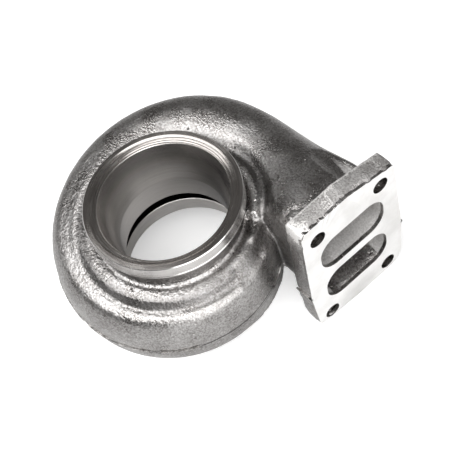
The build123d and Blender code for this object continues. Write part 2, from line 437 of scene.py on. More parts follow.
class Effects:
    """Shader node groups that more than one finish uses, each built once."""

    def __init__(self) -> None:
        """Build every group."""
        self.cast_grain = self.make_cast_grain()
        self.tool_marks = self.make_tool_marks()
        self.handling = self.make_handling()

    def make_cast_grain(self) -> NodeTree:
        """Make the shot-blasted grain of a casting: fine grain, pebbles and a few pits.

        Returns:
            NodeTree: the node group.
        """
        inputs = {"Vector": VECTOR, "Pebbles": FLOAT, "Pits": FLOAT}
        bench, given, out = new_group("cast_grain", inputs, ["Height", "Tone", "Speckle", "Pit"])
        place = given["Vector"]
        fine = bench.grain(place, 880.0, 2.0, 0.75)
        coarse = bench.grain(place, 420.0, 1.0, 0.5)
        cells = bench.add("ShaderNodeTexVoronoi", Vector=place, Scale=300.0)
        dents = bench.maths("SUBTRACT", 1.0, bench.band(cells.outputs["Distance"], 0.0, 0.32))
        chosen = bench.band(bench.grain(place, 150.0, 1.0), 0.60, 0.70)
        pit = bench.times(dents, chosen, given["Pits"])
        rough = bench.plus(bench.times(fine, 0.92), bench.times(coarse, given["Pebbles"]))
        height = bench.maths("SUBTRACT", rough, bench.times(pit, 1.6))
        tone = bench.grain(place, 60.0, 3.0, 0.5)
        bench.fill(out, Height=height, Tone=tone, Speckle=bench.band(fine, 0.3, 0.7), Pit=pit)
        return bench.tree

    def make_tool_marks(self) -> NodeTree:
        """Make the rings that a turning tool leaves round the turbine axis.

        Returns:
            NodeTree: the node group.
        """
        inputs = {"Vector": VECTOR, "Pitch": FLOAT, "Sweep": FLOAT}
        bench, given, out = new_group("tool_marks", inputs, ["Height", "Streak"])
        parts = bench.add("ShaderNodeSeparateXYZ", Vector=given["Vector"]).outputs
        squares = bench.plus(bench.maths("POWER", parts["X"], 2.0), bench.maths("POWER", parts["Y"], 2.0))
        path = bench.plus(bench.maths("SQRT", squares), parts["Z"])
        pitch = bench.times(path, given["Pitch"])
        rings = bench.add(
            "ShaderNodeTexNoise", {"noise_dimensions": "1D"}, W=pitch, Scale=1.0, Detail=2.0, Roughness=0.7
        )
        turn = bench.maths("ARCTAN2", parts["Y"], parts["X"])
        sweep = {
            axis: bench.times(bench.maths(wave, turn), given["Sweep"])
            for axis, wave in (("Y", "SINE"), ("Z", "COSINE"))
        }
        place = bench.add("ShaderNodeCombineXYZ", X=bench.times(path, 700.0), **sweep).outputs[0]
        bench.fill(out, Height=rings.outputs["Fac"], Streak=bench.grain(place, 1.0, 3.0, 0.6))
        return bench.tree

    def make_handling(self) -> NodeTree:
        """Make the faint smears and cloudy patches that handling and oil leave.

        Returns:
            NodeTree: the node group.
        """
        bench, given, out = new_group("handling", {"Vector": VECTOR}, ["Smear"])
        bench.fill(out, Smear=bench.band(bench.grain(given["Vector"], 38.0, 4.0, 0.6), 0.35, 0.7))
        return bench.tree


def new_material(name: str) -> tuple[Material, NodeBench, Node, Socket]:
    """Start a material.

    Args:
        name: the material's name.

    Returns:
        tuple: the material, the bench for its tree, its Principled BSDF and its Object coordinates.
    """
    material = bpy.data.materials.new(name)
    material.use_nodes = True
    bench = NodeBench(material.node_tree)
    shader = material.node_tree.nodes["Principled BSDF"]
    return material, bench, shader, bench.add("ShaderNodeTexCoord").outputs["Object"]


@dataclass(frozen=True)
class CastSkin:
    """Shot-blasted cast steel, warm grey, with a satin grain. Lengths are in millimetres."""

    name: str = "cast_skin"
    dark: Colour = (0.17, 0.155, 0.146, 1.0)
    light: Colour = (0.60, 0.59, 0.583, 1.0)
    # Colour of the painted shade
    shade_colour: Colour = (0.02, 0.018, 0.017, 1.0)
    pit: Colour = (0.10, 0.085, 0.075, 1.0)
    bare_and_highlight: Colour = (0.86, 0.845, 0.83, 1.0)
    roughness: float = 0.24
    pebbles: float = 0.15
    more_pebbles: float = 0.9
    bump: float = 1.0
    bump_depth: float = 0.38
    # Painted shadow lines over and under the parting lip: their heights in millimetres and their strengths
    over_lip: Stretch = (24.6, 24.9, 25.3, 26.0)
    over_lip_strength: float = 0.8
    under_lip: Stretch = (22.3, 22.9, 23.2, 23.4)
    under_lip_strength: float = 0.6
    mark: Point = (77.4, 81.1, 90.6)
    mark_ring: Stretch = (1.7, 2.0, 2.6, 3.0)

    def parting_lines(self, bench: NodeBench, place: Socket, pale: Socket) -> Socket:
        """Paint shadow lines over and under the parting lip.

        Args:
            bench: the bench for the material's tree.
            place: the Object coordinates.
            pale: how pale the skin is.

        Returns:
            Socket: how dark the lines are.
        """
        height = bench.add("ShaderNodeSeparateXYZ", Vector=place).outputs["Z"]
        lines = 0.0
        for stretch, strength in (
            (self.over_lip, self.over_lip_strength),
            (self.under_lip, self.under_lip_strength),
        ):
            line = bench.plateau(height, *(end * MM for end in stretch))
            line = bench.times(line, bench.maths("SUBTRACT", strength, pale))
            lines = bench.maths("MAXIMUM", lines, line)
        return lines

    def mix(self, bench: NodeBench, place: Socket, grain: Sockets, tone: Socket, pale: Socket) -> Socket:
        """Mix the skin's colour.

        Args:
            bench: the bench for the material's tree.
            place: the Object coordinates.
            grain: the outputs of the cast grain.
            tone: the broad changes of tone.
            pale: how pale the skin is.

        Returns:
            Socket: the colour.
        """
        speckle = grain["Speckle"]
        share = bench.plus(bench.times(tone, 0.3), bench.times(speckle, 0.7))
        colour = bench.blend(share, self.dark, self.light)
        # Painted shade inside the scrolls, in the hollow, in the roof's valleys and under the rim's foot
        colour = bench.blend(bench.mask(PAINTED_SHADE), colour, self.shade_colour)
        # Pale skin: painted light on the walls of the ports, and a paler skin on the flange's top
        colour = bench.blend(bench.times(pale, 0.4), colour, self.bare_and_highlight)
        # Painted shadow lines beside the parting lip
        colour = bench.blend(self.parting_lines(bench, place, pale), colour, self.shade_colour)
        # Bright metal, and the painted highlight on the collar
        bare_and_highlight = bench.mask(BARE_AND_HIGHLIGHT)
        broken = bench.times(bench.band(bench.plus(bare_and_highlight, speckle), 0.75, 1.25), bench.band(bare_and_highlight, 0.05, 0.4))
        colour = bench.blend(broken, colour, self.bare_and_highlight)
        return bench.blend(bench.times(grain["Pit"], 0.75), colour, self.pit)

    def material(self, effects: Effects) -> Material:
        """Make the material.

        Args:
            effects: the shared node groups.

        Returns:
            Material: the finish.
        """
        material, bench, shader, place = new_material(self.name)
        pebbles = bench.plus(bench.times(bench.mask(PEBBLED), self.more_pebbles), self.pebbles)
        grain = bench.effect(effects.cast_grain, Vector=place, Pebbles=pebbles, Pits=1.0)
        tone = bench.band(grain["Tone"], 0.3, 0.72)
        pale = bench.mask(PALE)
        coarse = bench.times(bench.mask(COARSE), 0.25)
        rough = bench.plus(self.roughness, bench.times(tone, 0.1), coarse, bench.times(pale, 0.25))
        away = bench.distance(place, Vector(self.mark) * MM)
        ring = bench.plateau(away, *(end * MM for end in self.mark_ring))
        relief = bench.plus(grain["Height"], bench.times(ring, 1.6))
        bench.fill(
            shader,
            Base_Color=self.mix(bench, place, grain, tone, pale),
            Metallic=bench.maths("SUBTRACT", 1.0, bench.times(pale, 0.6)),
            Roughness=rough,
            Normal=bench.bump(relief, self.bump, self.bump_depth),
        )
        return material


@dataclass(frozen=True)
class TurnedMetal:
    """Turned metal with fine rings round the turbine axis, and painted shade across it where shade is below
    1.
    """

    name: str = "turned_metal"
    colour: Colour = (0.33, 0.305, 0.29, 1.0)
    bright: Colour = (0.47, 0.45, 0.43, 1.0)
    roughness: float = 0.18
    stretch: float = 0.85
    pitch: float = 3000.0
    bump: float = 0.22
    uneven: float = 1.0
    # Painted shade: the share of colour kept on the shaded side, and where the lit and shaded sides lie
    shade: float = 1.0
    lit_side: float = 22.0 * MM
    shaded_side: float = -38.0 * MM

    def material(self, effects: Effects) -> Material:
        """Make the material.

        Args:
            effects: the shared node groups.

        Returns:
            Material: the finish.
        """
        material, bench, shader, place = new_material(self.name)
        sweep = 0.2 + 2.0 * self.uneven
        marks = bench.effect(effects.tool_marks, Vector=place, Pitch=self.pitch, Sweep=sweep)
        smear = bench.effect(effects.handling, Vector=place)["Smear"]
        streak = bench.band(marks["Streak"], 0.3, 0.7)
        parts = bench.add("ShaderNodeSeparateXYZ", Vector=place).outputs
        # Painted shade, darker from the lit side towards the shaded side
        across = bench.plus(parts["X"], bench.times(parts["Y"], 0.35))
        dimmed = bench.times(bench.band(across, self.lit_side, self.shaded_side), 1.0 - self.shade)
        dim = bench.plus(self.shade, dimmed)
        painted_shade_colour = bench.add("ShaderNodeCombineColor", Red=dim, Green=dim, Blue=dim).outputs[0]
        colour = bench.blend(streak, self.colour, self.bright)
        rough = bench.plus(
            bench.times(smear, 0.08 * self.uneven), bench.times(streak, 0.06 * self.uneven), self.roughness
        )
        lay = bench.add("ShaderNodeTangent", {"direction_type": "RADIAL", "axis": "Z"})
        bench.fill(
            shader,
            Base_Color=bench.blend(1.0, colour, painted_shade_colour, "MULTIPLY"),
            Metallic=1.0,
            Tangent=lay.outputs[0],
            Anisotropic=self.stretch,
            Anisotropic_Rotation=0.25,
            Roughness=rough,
            Normal=bench.bump(marks["Height"], self.bump, 0.05),
        )
        return material


@dataclass(frozen=True)
class GroundFace:
    """Pale ground metal with fine straight scratches, whose lay is in degrees."""

    name: str = "ground_face"
    colour: Colour = (0.95, 0.945, 0.935, 1.0)
    shade: Colour = (0.80, 0.79, 0.775, 1.0)
    roughness: float = 0.36
    metallic: float = 0.5
    lay: float = 35.0

    def material(self, effects: Effects) -> Material:
        """Make the material.

        Args:
            effects: the shared node groups.

        Returns:
            Material: the finish.
        """
        material, bench, shader, place = new_material(self.name)
        turn = (math.radians(self.lay), 0.0, 0.0)
        drawn = bench.add("ShaderNodeMapping", Vector=place, Rotation=turn, Scale=(1.0, 60.0, 1.0))
        scratch = bench.grain(drawn.outputs[0], 90.0, 4.0, 0.7)
        smear = bench.effect(effects.handling, Vector=place)["Smear"]
        bench.fill(
            shader,
            Base_Color=bench.blend(smear, self.colour, self.shade),
            Metallic=self.metallic,
            Roughness=bench.plus(self.roughness, bench.times(scratch, 0.15)),
            Normal=bench.bump(scratch, 0.12, 0.05),
        )
        return material


BORED_METAL = TurnedMetal(
    name="bored_metal",
    colour=(0.68, 0.65, 0.625, 1.0),
    bright=(0.76, 0.73, 0.705, 1.0),
    roughness=0.24,
    stretch=0.5,
    uneven=0.05,
    # Painted shade across the bore
    shade=0.3,
)


def shaded_skin(name: str) -> CastSkin:
    """Choose the dark skin of surfaces inside the nozzle slot, which is painted shade."""
    return CastSkin(name=name, dark=(0.03, 0.027, 0.025, 1.0), light=(0.09, 0.085, 0.08, 1.0))


class SubAssembly:
    """A piece of the housing, with a finish for each of its material slots."""

    finishes: ClassVar[tuple[CastSkin | TurnedMetal | GroundFace, ...]] = ()

    def dress(self, piece: Piece, effects: Effects) -> None:
        """Give the piece its finishes, in the order of its material slots."""
        for finish in self.finishes:
            piece.data.materials.append(finish.material(effects))


@dataclass(frozen=True)
class Spot:
    """A point of the casting in millimetres, with its radius and its turn in degrees round the axis."""

    place: Vector
    radius: float
    turn: float

    @classmethod
    def at(cls, point: Vector) -> "Spot":
        """Read a point that is given in metres."""
        place = point / MM
        return cls(place, radius_of(place), math.degrees(math.atan2(place.y, place.x)))

    def near(self, centre: Point, core: float, reach: float) -> float:
        """Fall from 1 inside a core round a centre to 0 at its reach."""
        return 1.0 - ramp((self.place - Vector(centre)).length, core, reach)


@dataclass
class CastBody(SubAssembly):
    """The casting: volute, duct, flange and gas passages, with an uneven cast surface.

    Lengths are in millimetres and turns in degrees. A span holds where something starts and where it
    is full, and a stretch also where it eases off and where it ends.
    """

    sizes: HousingSizes
    voxel: float = 1.1
    kept_share: float = 0.46
    smoothing_passes: int = 2

    # Unevenness, and how far the casting sinks under other pieces
    undulation: float = 0.15
    pebble: float = 0.08
    sink: float = 0.55
    mouth_sink: float = 1.7
    mouth_rise: Span = (73.0, 76.0)
    neck_rise: Span = (61.0, 63.0)
    neck_wall: Span = (46.3, 47.0)
    bore_wall: Span = (45.6, 47.0)
    bore_top: float = 60.0
    bore_reach: float = 42.0
    face_depth: Span = (-2.6, -1.2)
    lip_reach: float = 2.2
    lip_sink: float = 0.9
    lip_edges: Span = (1.9, 1.3)
    lip_half_height: float = 2.6
    lip_least_radius: float = 58.0

    # Gate's lump, broken corner and top of the flange
    lump_centre: Point = (66.0, 42.0, 79.0)
    lump_reach: float = 12.0
    lump_relief: float = 1.5
    chipped_corner: Point = (77.5, 33.0, 89.0)
    chip_reach: float = 8.0
    back_edge: Span = (0.8, 2.2)
    flange_top: Span = (83.0, 86.0)
    flange_back: Span = (68.0, 69.0)
    coarse_height: Span = (76.0, 84.0)
    coarse_back: Span = (67.5, 69.5)

    # Pebbled haunch away from the duct
    haunch_turn: Stretch = (150.0, 190.0, 320.0, 350.0)
    haunch_height: Span = (34.0, 44.0)

    # Crease, hollow and bumps between the scroll's tail and the duct
    tongue_low: Point = (34.0, 2.0, 18.0)
    tongue_high: Point = (67.0, 44.0, 72.0)
    tongue_passes: int = 34
    tongue_least_radius: float = 46.5
    bumps: tuple[tuple[Point, float, float], ...] = (
        ((44.0, 24.6, 59.1), 3.4, 1.3),
        ((52.6, 25.4, 49.3), 3.6, 1.4),
    )
    hollow_top: Point = (41.0, 34.0, 55.0)
    hollow_foot: Point = (53.0, 33.0, 26.0)
    hollow_reach: Span = (3.0, 7.5)

    # Relief of the roof round the neck, as radius and rise
    roof_height: Span = (48.0, 69.0)
    roof_radius: Span = (43.0, 61.0)
    collar_relief: Outline = (
        (50.0, 0.0), (51.5, -0.2), (53.0, -1.1), (55.0, -2.2), (57.0, -2.0), (59.0, -0.7), (61.0, 0.0),
    )
    collar_turn: Stretch = (41.8, 43.6, 88.0, 116.0)
    collar_height: float = 63.3
    collar_slope: float = 0.16
    collar_start: float = 46.0
    collar_edge: Span = (49.5, 53.0)
    collar_end: Span = (76.0, 96.0)
    shoulder_relief: Outline = (
        (43.0, 0.0), (46.0, -0.6), (48.0, -1.3), (50.0, -2.0),
        (52.0, -2.3), (54.0, -2.0), (56.0, -1.5), (59.0, 0.0),
    )
    shoulder_turn: Stretch = (-176.0, -150.0, -4.0, 16.0)
    # Painted highlight on the collar beside the rim
    bright_collar_radius: Stretch = (45.0, 46.5, 49.5, 52.5)
    bright_collar_turn: Stretch = (41.0, 44.0, 76.0, 92.0)
    bright_collar_height: Span = (56.0, 58.0)

    # Shares of bright metal, of the collar's painted highlight and of pale skin
    lump_bare: float = 0.55
    patch_bare: float = 0.45
    collar_highlight_share: float = 0.85
    top_pale: float = 0.28

    # Painted shade: nozzle slot, the hollow by the scroll's tail, two valleys of the roof and the rim's foot
    slot_radius: Span = (57.0, 60.5)
    slot_height: Stretch = (10.0, 12.0, 40.0, 48.0)
    inner_valley: Stretch = (49.5, 52.0, 55.5, 58.5)
    outer_valley: Stretch = (62.5, 64.5, 66.0, 68.0)
    rim_foot_radius: Span = (48.5, 50.0)
    rim_foot_turn: Span = (-100.0, -70.0)
    far_side: float = -10.0
    far_gain: float = 1.35
    hollow_shade: float = 0.5
    inner_shade: float = 0.42
    outer_shade: float = 0.25
    foot_shade: float = 0.38

    # Walls of the gas passages behind the ports, made paler as painted light
    port_back: float = 50.0
    port_height: Span = (8.0, 66.0)
    port_half_width: float = 24.5
    port_pale: Span = (40.0, 60.0)

    finishes = (CastSkin(),)

    def build(self) -> Piece:
        """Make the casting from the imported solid.

        Returns:
            Piece: the casting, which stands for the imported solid.
        """
        blank = set_out_mesh(cad_faces(lambda face: True), "casting_blank")
        remesh = blank.modifiers.new("even_faces", "REMESH")
        remesh.mode = "VOXEL"
        remesh.voxel_size = self.voxel * MM
        thin = blank.modifiers.new("fewer_faces", "DECIMATE")
        thin.ratio = self.kept_share
        graph = bpy.context.evaluated_depsgraph_get()
        even = bpy.data.meshes.new_from_object(blank.evaluated_get(graph))
        bpy.data.objects.remove(blank)
        bm = bmesh.new()
        bm.from_mesh(even)
        bpy.data.meshes.remove(even)
        soften(bm, bm.verts, self.smoothing_passes)
        self.refine_lip(bm)
        self.model_tongue(bm)
        self.mark_skin(bm)
        self.roughen(bm)
        piece = put_away(bm, "casting", sharp_angle=180.0)
        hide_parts(NODE)
        return piece

    def refine_lip(self, bm: Mesh) -> None:
        """Add faces beside the parting lip, so the wall can sink there in an even line.

        Args:
            bm: the casting's mesh.
        """
        for longest in self.lip_edges:
            long_edges = []
            for edge in bm.edges:
                middle = middle_of(edge)
                beside = abs(middle.z - self.sizes.parting_height) < self.lip_half_height * MM
                beside = beside and radius_of(middle) > self.lip_least_radius * MM
                if beside and edge.calc_length() > longest * MM:
                    long_edges.append(edge)
            bmesh.ops.subdivide_edges(bm, edges=long_edges, cuts=1)
            bmesh.ops.triangulate(bm, faces=[face for face in bm.faces if len(face.verts) > 3])

    def model_tongue(self, bm: Mesh) -> None:
        """Soften the crease where the scroll's tail meets the duct, and shape the forms beside it.

        Args:
            bm: the casting's mesh.
        """
        low, high = Vector(self.tongue_low) * MM, Vector(self.tongue_high) * MM
        near = [
            vert
            for vert in bm.verts
            if all(low[i] < vert.co[i] < high[i] for i in range(3))
            and radius_of(vert.co) > self.tongue_least_radius * MM
        ]
        soften(bm, near, self.tongue_passes)
        bm.normal_update()
        moves = {}
        for vert in bm.verts:
            rise = self.roof_relief(Spot.at(vert.co)) if vert.normal.z > 0.2 else 0.0
            if rise:
                moves[vert] = Vector((0.0, 0.0, rise))
        for centre, reach, height in self.bumps:
            for vert in near:
                gap = (vert.co / MM - Vector(centre)).length
                if gap < 2.0 * reach:
                    rise = vert.normal * height * math.exp(-((gap / reach) ** 2))
                    moves[vert] = moves.get(vert, Vector()) + rise
        for vert, move in moves.items():
            vert.co += move * MM

    def roof_relief(self, spot: Spot) -> float:
        """Say how far the volute's roof rises or sinks beside the neck.

        Args:
            spot: a spot on the roof.

        Returns:
            float: the change of height in millimetres.
        """
        (lowest, highest), (inner, outer) = self.roof_height, self.roof_radius
        height = spot.place.z
        if not lowest < height < highest or not inner < spot.radius < outer:
            return 0.0
        wanted = self.collar_height + self.collar_slope * (spot.radius - self.collar_start)
        level = (1.0 - ramp(spot.radius, *self.collar_edge)) * (1.0 - ramp(spot.turn, *self.collar_end))
        rise = along(self.collar_relief, spot.radius) + level * (wanted - height)
        rise *= plateau(spot.turn, *self.collar_turn)
        return rise + plateau(spot.turn, *self.shoulder_turn) * along(self.shoulder_relief, spot.radius)

    def machined(self, spot: Spot) -> float:
        """Say how far a spot lies under a machined surface.

        Args:
            spot: a spot on the casting.

        Returns:
            float: 0 away from the machined surfaces and 1 well under one.
        """
        neck = ramp(spot.place.z, *self.neck_rise) * (1.0 - ramp(spot.radius, *self.neck_wall))
        in_bore = spot.place.z < self.bore_top or spot.radius < self.bore_reach
        bore = 1.0 - ramp(spot.radius, *self.bore_wall) if in_bore else 0.0
        face = ramp(spot.place.x - self.sizes.high.x / MM, *self.face_depth)
        return max(neck, bore, face)

    def pebbled(self, spot: Spot) -> float:
        """Say how pebbly the skin is: most on the volute's haunch away from the duct.

        Args:
            spot: a spot on the casting.

        Returns:
            float: the share of pebbles.
        """
        haunch = plateau(spot.turn % 360.0, *self.haunch_turn) * ramp(spot.place.z, *self.haunch_height)
        lump = spot.near(self.lump_centre, 0.5 * self.lump_reach, 1.5 * self.lump_reach)
        return max(haunch, lump, 0.3 * self.pale(spot))

    def bare_and_highlight(self, spot: Spot) -> float:
        """Say how much bright metal shows on the gate's lump and the flange's edges, and how much painted
        highlight lies on the collar.

        Args:
            spot: a spot on the casting.

        Returns:
            float: the share of bright metal and painted highlight.
        """
        lump = spot.near(self.lump_centre, 0.55 * self.lump_reach, self.lump_reach)
        chip = spot.near(self.chipped_corner, 0.6 * self.chip_reach, self.chip_reach)
        back = (self.sizes.high.x - self.sizes.flange_thickness) / MM
        back_edge = 1.0 - ramp(abs(spot.place.x - back), *self.back_edge)
        patch = ramp(noise.noise(spot.place * 0.095), 0.1, 0.4)
        top = ramp(spot.place.z, *self.flange_top) * ramp(spot.place.x, *self.flange_back)
        # Painted highlight on the collar, which the rim shades from the lights
        painted_highlight = plateau(spot.radius, *self.bright_collar_radius)
        painted_highlight *= plateau(spot.turn, *self.bright_collar_turn)
        painted_highlight *= ramp(spot.place.z, *self.bright_collar_height)
        flange = top * max(back_edge, self.patch_bare * patch)
        return max(self.lump_bare * lump, chip, flange, self.collar_highlight_share * painted_highlight)

    def coarse(self, spot: Spot) -> float:
        """How rough the skin is at a spot: roughest on the flange's top."""
        return ramp(spot.place.x, *self.coarse_back) * ramp(spot.place.z, *self.coarse_height)

    def pale(self, spot: Spot) -> float:
        """Say how pale the skin is: palest on the walls of the ports, where the paleness is painted light,
        less on the flange's top.

        Args:
            spot: a spot on the casting.

        Returns:
            float: the share of pale skin.
        """
        x, y, z = spot.place
        low, high = self.port_height
        within = abs(y - self.sizes.bolt_centre.y / MM) < self.port_half_width
        if within and low < z < high and x > self.port_back:
            return ramp(x, *self.port_pale)
        return self.top_pale * self.coarse(spot)

    def hollow(self, spot: Spot) -> float:
        """Say how near a spot lies to the hollow between the scroll's tail and the duct.

        Args:
            spot: a spot on the casting.

        Returns:
            float: 1 in the hollow and 0 away from it.
        """
        top, foot = Vector(self.hollow_top), Vector(self.hollow_foot)
        run = foot - top
        share = min(max((spot.place - top).dot(run) / run.length_squared, 0.0), 1.0)
        return spot.near(top + run * share, *self.hollow_reach)

    def painted_shade(self, spot: Spot) -> float:
        """Say how much painted shade the skin gets: darkest inside the scrolls, next to the nozzle slot.

        Args:
            spot: a spot on the casting.

        Returns:
            float: the share of painted shade.
        """
        slot = (1.0 - ramp(spot.radius, *self.slot_radius)) * plateau(spot.place.z, *self.slot_height)
        dark = max(slot, self.hollow_shade * self.hollow(spot))
        if spot.place.z < self.slot_height[-1]:
            return dark
        inner = plateau(spot.radius, *self.inner_valley)
        if spot.place.x < self.far_side:
            inner *= self.far_gain
        outer = plateau(spot.radius, *self.outer_valley) if spot.place.y < 0.0 else 0.0
        foot = 1.0 - ramp(spot.radius, *self.rim_foot_radius)
        foot *= 1.0 - ramp(spot.turn, *self.rim_foot_turn)
        return max(dark, self.inner_shade * inner, self.outer_shade * outer, self.foot_shade * foot)

    def mark_skin(self, bm: Mesh) -> None:
        """Write on every vertex what the cast skin reads there.

        Args:
            bm: the casting's mesh.
        """
        layers = bm.verts.layers.float
        masks = (self.pebbled, self.painted_shade, self.coarse, self.bare_and_highlight, self.pale)
        names = (PEBBLED, PAINTED_SHADE, COARSE, BARE_AND_HIGHLIGHT, PALE)
        written = [(layers.new(name), mask) for name, mask in zip(names, masks)]
        for vert in bm.verts:
            spot = Spot.at(vert.co)
            for layer, mask in written:
                vert[layer] = mask(spot)

    def roughen(self, bm: Mesh) -> None:
        """Give the cast surface its unevenness, and sink it under the machined pieces.

        Args:
            bm: the casting's mesh.
        """
        bm.normal_update()
        lip = BVHTree.FromBMesh(PartingFlash(self.sizes).outer_faces())
        reach = self.lip_reach * MM
        moves = []
        for vert in bm.verts:
            spot = Spot.at(vert.co)
            cut = self.machined(spot)
            lump = spot.near(self.lump_centre, 0.3 * self.lump_reach, self.lump_reach)
            swell = noise.noise(vert.co * 110.0) * self.undulation
            swell += noise.noise(vert.co * 420.0) * self.pebble
            swell += noise.noise(vert.co * 330.0) * self.lump_relief * lump
            gap = lip.find_nearest(vert.co, reach)[3]
            under_lip = 0.0 if gap is None else 1.0 - ramp(gap, 0.45 * reach, reach)
            mouth = ramp(spot.place.z, *self.mouth_rise) * (1.0 - ramp(spot.radius, *self.neck_wall))
            depth = self.sink * cut + self.mouth_sink * mouth + self.lip_sink * under_lip
            moves.append(vert.normal * (swell * (1.0 - cut) - depth) * MM)
        low, high = self.sizes.low, self.sizes.high
        for vert, move in zip(bm.verts, moves):
            moved = vert.co + move
            vert.co = [min(max(moved[i], low[i]), high[i]) for i in range(3)]


@dataclass
class TurnedOutlet(SubAssembly):
    """Outlet rim, neck and bore, turned in one setting. Outlines are in millimetres."""

    sizes: HousingSizes
    steps: int = 256

    # Foot of the rim and its groove, as depth inside the rim and height
    outside: Outline = (
        (1.4, 70.1), (0.7, 70.3), (0.25, 70.6), (0.0, 71.0),
        (0.0, 71.9), (0.2, 72.15), (0.2, 72.45), (0.0, 72.7),
    )
    # Outer edge, as depth inside the rim and below the outlet face
    edge: Outline = ((0.0, 0.5), (0.4, 0.0))
    # Steps of the mouth, as radius and depth below the outlet face
    mouth: Outline = (
        (42.9, 0.0), (42.7, 0.2), (41.6, 0.65), (41.5, 0.9), (41.3, 0.9), (40.2, 1.35),
        (40.1, 1.7), (39.8, 1.7), (39.2, 2.0), (39.1, 2.4), (38.6, 2.5), (38.3, 2.8),
    )
    # Wheel's contour and the nozzle wall, as radius and height
    contour: Outline = ((32.3, 50.2), (32.3, 49.8), (33.5, 32.1), (33.9, 31.7), (37.1, 31.7), (45.5, 35.9))
    # Back of the wall, inside the casting
    back: Outline = ((44.0, 41.0), (41.0, 46.0), (41.0, 58.0), (42.0, 69.0))
    # Where one zone ends and the next begins
    band_inner: float = 45.2
    band_low: float = 65.0
    bore_top: float = 77.4
    contour_top: float = 50.0
    underside_inner: float = 35.0

    # In the order of Zone
    finishes = (
        TurnedMetal(),
        TurnedMetal(
            name="turned_band", colour=(0.70, 0.685, 0.67, 1.0), bright=(0.80, 0.785, 0.77, 1.0), stretch=0.6
        ),
        BORED_METAL,
        replace(
            BORED_METAL,
            name="wheel_contour",
            colour=(0.78, 0.75, 0.725, 1.0),
            bright=(0.84, 0.81, 0.785, 1.0),
        ),
        # Painted shade on the underside inside the nozzle slot
        shaded_skin("shaded_slot_skin"),
    )

    def profile(self) -> Outline:
        """Work out the corners of the turned section.

        Returns:
            Outline: the corners as radius and height, in millimetres.
        """
        rim, top = self.sizes.rim_radius / MM, self.sizes.outlet_face / MM
        return (
            *((rim - inset, height) for inset, height in self.outside),
            *((rim - inset, top - depth) for inset, depth in self.edge),
            *((radius, top - depth) for radius, depth in self.mouth),
            *self.contour,
            *self.back,
        )

    def zone(self, face: bmesh.types.BMFace) -> Zone:
        """Say which turned surface a face belongs to.

        Args:
            face: a face of the outlet.

        Returns:
            Zone: its surface.
        """
        middle = face.calc_center_median()
        radius, height = radius_of(middle) / MM, middle.z / MM
        if radius > self.band_inner and height > self.band_low and abs(face.normal.z) < 0.9:
            return Zone.BAND
        if height < self.contour_top:
            return Zone.UNDERSIDE if radius > self.underside_inner else Zone.CONTOUR
        return Zone.BORE if height < self.bore_top else Zone.TOP

    def build(self) -> Piece:
        """Turn the outlet, and mark which surface each face belongs to.

        Returns:
            Piece: the outlet.
        """
        bm = lathe(self.profile(), self.steps)
        bm.normal_update()
        for face in bm.faces:
            face.material_index = self.zone(face).value
        return put_away(bm, "turned_outlet", sharp_angle=24.0)


@dataclass
class CastNeck(SubAssembly):
    """Cast neck that carries the outlet rim, with a crisp foot on the roof. Lengths are in millimetres."""

    steps: int = 256
    profile: Outline = (
        (43.0, 56.0), (43.0, 68.4), (43.4, 69.0), (45.6, 70.25), (45.0, 71.5), (41.5, 70.0), (41.5, 56.0),
    )

    # The neck's darker skin is painted shade under the overhanging rim.
    finishes = (CastSkin(name="shaded_neck_skin", dark=(0.10, 0.09, 0.085, 1.0), light=(0.34, 0.33, 0.325, 1.0)),)

    def build(self) -> Piece:
        """Make the neck."""
        return put_away(lathe(self.profile, self.steps), "cast_neck")


@dataclass
class BoltHoles(SubAssembly):
    """Drilled walls of the four bolt holes in the inlet flange. Lengths are in millimetres."""

    sizes: HousingSizes
    wall: float = 0.9
    steps: int = 64
    set_back: float = 0.3

    finishes = (
        TurnedMetal(
            name="drilled_metal",
            colour=(0.30, 0.285, 0.27, 1.0),
            bright=(0.4, 0.385, 0.37, 1.0),
            stretch=0.0,
        ),
    )

    def build(self) -> Piece:
        """Make one tube for each bolt hole.

        Returns:
            Piece: the four tubes.
        """
        inner, depth = self.sizes.bolt_radius / MM, self.sizes.flange_thickness / MM
        outer = inner + self.wall
        profile = ((inner, -self.set_back), (outer, -self.set_back), (outer, -depth), (inner, -depth))
        spread = self.sizes.bolt_spread
        bm = bmesh.new()
        for side in (-0.5, 0.5):
            for end in (-0.5, 0.5):
                centre = self.sizes.bolt_centre + Vector((0.0, side * spread.y, end * spread.z))
                place = Matrix.Translation(centre) @ Matrix.Rotation(math.pi / 2, 4, "Y")
                bm = lathe(profile, self.steps, bm, place)
        return put_away(bm, "bolt_holes")


